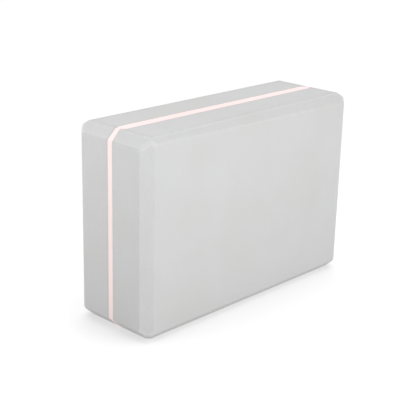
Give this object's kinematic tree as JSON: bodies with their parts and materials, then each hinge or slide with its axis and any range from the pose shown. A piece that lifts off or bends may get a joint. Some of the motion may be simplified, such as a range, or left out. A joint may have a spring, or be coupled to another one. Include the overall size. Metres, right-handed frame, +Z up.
{
  "type": "yoga block",
  "caption": "Firm rectangular foam yoga block with bevelled, softly rounded edges and a thin contrasting stripe through the middle of its thickness.",
  "frame": {"origin": "middle of the long narrow face that the block stands on, at floor height", "axes": "+Z up; +X along the block's length; +Y through its thickness, from the front face to the rear face; the stripe lies in the X-Z plane"},
  "size_m": [0.2286, 0.0762, 0.1524],
  "materials": {
    "grey_foam": "matte closed-cell EVA foam with a very fine cut grain",
    "pink_foam": "matte closed-cell EVA foam, pale pink",
    "adhesive": "dried contact adhesive"
  },
  "bodies": {
    "root": {"front_foam_slab": "grey_foam", "rear_foam_slab": "grey_foam", "stripe_foam_sheet": "pink_foam", "front_bond_film": "adhesive", "rear_bond_film": "adhesive"}
  },
  "joints": []
}
